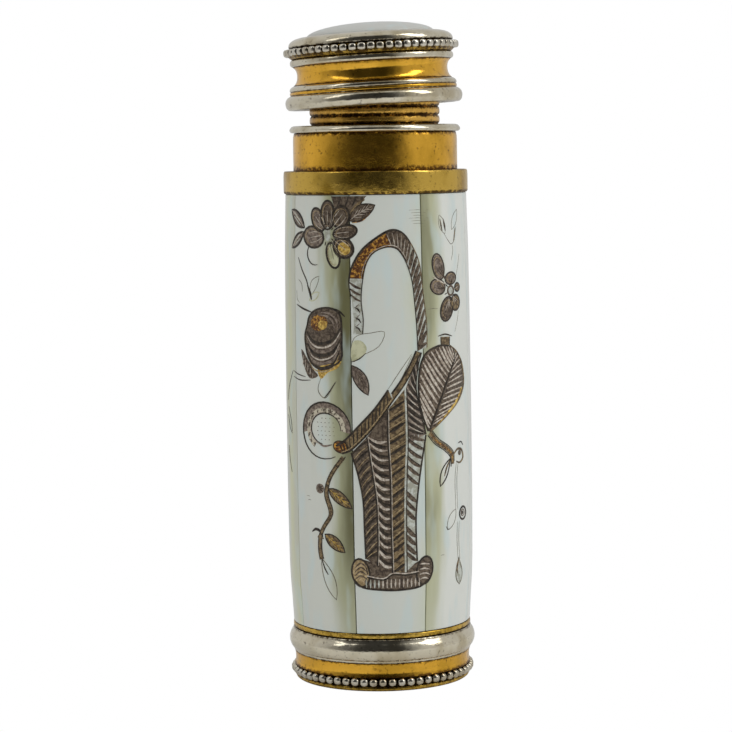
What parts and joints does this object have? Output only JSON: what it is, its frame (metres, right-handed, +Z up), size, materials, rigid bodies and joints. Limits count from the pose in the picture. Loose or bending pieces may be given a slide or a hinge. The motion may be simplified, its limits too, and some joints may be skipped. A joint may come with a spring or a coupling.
{
  "type": "lipstick case",
  "caption": "Cylindrical swivel lipstick case with pearl staves, inlaid flower basket, beaded silver and gilt mounts and a pull-off domed cap.",
  "frame": {"origin": "centre of the underside of the turning base, on the surface the case stands on", "axes": "+Z up along the case's axis towards the cap; -Y out of the decorated front; +X to the right when the front is looked at"},
  "size_m": [0.0202, 0.0202, 0.0708],
  "materials": {
    "silver": "polished",
    "gilt": "polished",
    "brass": "satin",
    "pearl": "gloss",
    "inlay_metal": "satin",
    "cork": "matte",
    "lipstick_wax": "satin"
  },
  "bodies": {
    "barrel": {"edge_ring": "gilt", "core_tube": "brass", "collar_band": "gilt", "collar_tube": "gilt", "neck_bush": "brass", "neck_flange": "silver", "guide_tube": "gilt", "pearl_stave_1": "pearl", "pearl_stave_2": "pearl", "pearl_stave_3": "pearl", "pearl_stave_4": "pearl", "pearl_stave_5": "pearl", "pearl_stave_6": "pearl", "pearl_stave_7": "pearl", "pearl_stave_8": "pearl", "inlay_basket": "inlay_metal", "inlay_basket_foot": "inlay_metal", "inlay_basket_handle": "inlay_metal", "inlay_plume": "inlay_metal", "inlay_ring_loop": "inlay_metal", "inlay_left_spray": "inlay_metal", "inlay_right_spray": "inlay_metal", "inlay_flower": "inlay_metal", "inlay_bud": "inlay_metal", "inlay_bud_leaf": "inlay_metal", "inlay_blossom": "inlay_metal"},
    "knob": {"foot_disc": "silver", "base_bead_ring": "gilt", "base_band": "gilt", "base_moulding": "silver", "knob_hub": "brass", "thrust_washer": "brass", "spiral_sleeve": "brass"},
    "carrier": {"carrier_cup": "gilt", "lug_pin_left": "brass", "lug_pin_right": "brass", "lipstick": "lipstick_wax"},
    "seal": {"cap_seal": "cork"},
    "cap": {"cap_skirt": "silver", "cap_liner": "brass", "cap_band": "gilt", "cap_listel": "silver", "cap_bead_ring": "silver", "cap_backing": "brass", "cap_bezel": "silver", "pearl_dome": "pearl"}
  },
  "joints": [
    {"name": "base_turn", "type": "hinge", "parent": "barrel", "child": "knob", "pos_m": [0, 0, 0], "axis": [0, 0, 1], "range_deg": [0, 720]},
    {"name": "carrier_lift", "type": "slide", "parent": "barrel", "child": "carrier", "axis": [0, 0, 1], "range_m": [0, 0.04005]},
    {"name": "cap_slide", "type": "slide", "parent": "barrel", "child": "seal", "axis": [0, 0, 1], "range_m": [-0.00135, 0.014]},
    {"name": "cap_rock", "type": "hinge", "parent": "seal", "child": "cap", "pos_m": [-0.00875, 0, 0.06136], "axis": [0, -1, 0], "range_deg": [-2.6, 0]}
  ],
  "couplings": [
    {"joint": "carrier_lift", "follows": "base_turn", "m_per_rad": 0.0031831}
  ]
}
